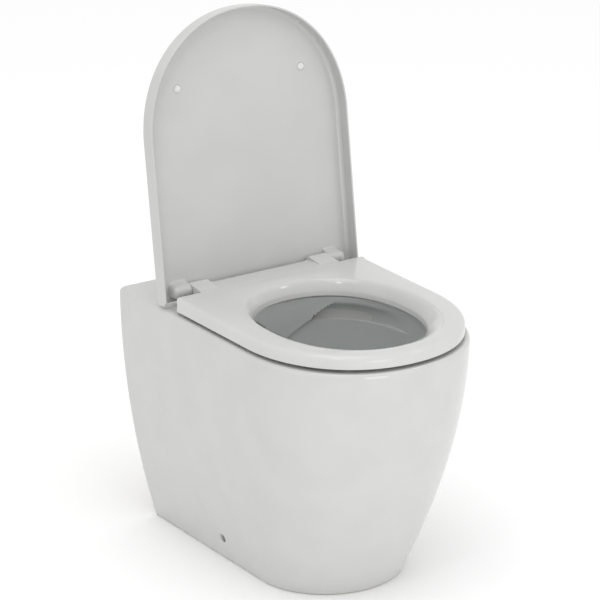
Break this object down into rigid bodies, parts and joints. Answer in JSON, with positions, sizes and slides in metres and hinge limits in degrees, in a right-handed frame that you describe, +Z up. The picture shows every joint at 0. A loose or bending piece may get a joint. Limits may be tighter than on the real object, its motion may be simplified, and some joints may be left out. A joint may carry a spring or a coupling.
{
  "type": "toilet",
  "caption": "Floor-standing back-to-wall toilet: D-shaped china pan with a concealed trap, a wrap-over seat and lid on soft-close lift-off hinges, and its fixings.",
  "frame": {"origin": "on the floor, midway between the two sides and midway between the front of the pan and the wall it stands against", "axes": "+Z up, +Y towards the wall, the pan faces -Y, +X to the right seen from the front"},
  "size_m": [0.36, 0.5448, 0.8402],
  "materials": {
    "vitreous_china": "white vitreous china with a clear gloss glaze",
    "thermoset_white": "white urea thermoset, moulded gloss",
    "rubber_grey": "grey synthetic rubber, satin",
    "stainless_steel": "turned stainless steel",
    "hinge_plastic": "glass-filled nylon, satin",
    "button_plastic": "grey nylon, satin",
    "damper_plastic": "black acetal, satin",
    "bush_plastic": "natural acetal, satin",
    "fixing_nylon": "natural nylon, satin"
  },
  "bodies": {
    "pan": {"pan": "vitreous_china", "flush_inlet_seal": "rubber_grey", "floor_bracket_left": "fixing_nylon", "floor_bracket_right": "fixing_nylon", "floor_screw_left": "stainless_steel", "floor_screw_right": "stainless_steel", "side_screw_left": "stainless_steel", "side_screw_right": "stainless_steel", "hinge_gasket_left": "rubber_grey", "hinge_gasket_right": "rubber_grey", "hinge_post_left": "stainless_steel", "hinge_post_right": "stainless_steel", "seat_bolt_left": "stainless_steel", "seat_bolt_right": "stainless_steel", "rubber_cone_left": "rubber_grey", "rubber_cone_right": "rubber_grey", "fixing_washer_left": "stainless_steel", "fixing_washer_right": "stainless_steel", "wing_nut_left": "fixing_nylon", "wing_nut_right": "fixing_nylon"},
    "hinge_carrier": {"hinge_body_left": "hinge_plastic", "hinge_body_right": "hinge_plastic", "hinge_pin_left": "stainless_steel", "hinge_pin_right": "stainless_steel"},
    "seat": {"seat": "thermoset_white", "seat_damper": "damper_plastic", "seat_bush": "bush_plastic", "seat_buffer_front_left": "rubber_grey", "seat_buffer_front_right": "rubber_grey", "seat_buffer_rear_left": "rubber_grey", "seat_buffer_rear_right": "rubber_grey"},
    "lid": {"lid": "thermoset_white", "lid_damper": "damper_plastic", "lid_bush": "bush_plastic", "lid_buffer_left": "rubber_grey", "lid_buffer_right": "rubber_grey"},
    "release_left": {"release_button_left": "button_plastic"},
    "release_right": {"release_button_right": "button_plastic"}
  },
  "joints": [
    {"name": "seat_lift_off", "type": "slide", "parent": "pan", "child": "hinge_carrier", "axis": [0, 0, 1], "range_m": [0, 0.02]},
    {"name": "lid_hinge", "type": "hinge", "parent": "hinge_carrier", "child": "lid", "pos_m": [0, 0.1497, 0.4205], "axis": [-1, 0, 0], "range_deg": [-97.63, 0]},
    {"name": "seat_hinge", "type": "hinge", "parent": "hinge_carrier", "child": "seat", "pos_m": [0, 0.1497, 0.4205], "axis": [-1, 0, 0], "range_deg": [0, 97]},
    {"name": "release_left_slide", "type": "slide", "parent": "hinge_carrier", "child": "release_left", "axis": [0, 1, 0], "range_m": [0, 0.0018], "stiffness_N_per_m": 600},
    {"name": "release_right_slide", "type": "slide", "parent": "hinge_carrier", "child": "release_right", "axis": [0, 1, 0], "range_m": [0, 0.0018], "stiffness_N_per_m": 600}
  ]
}
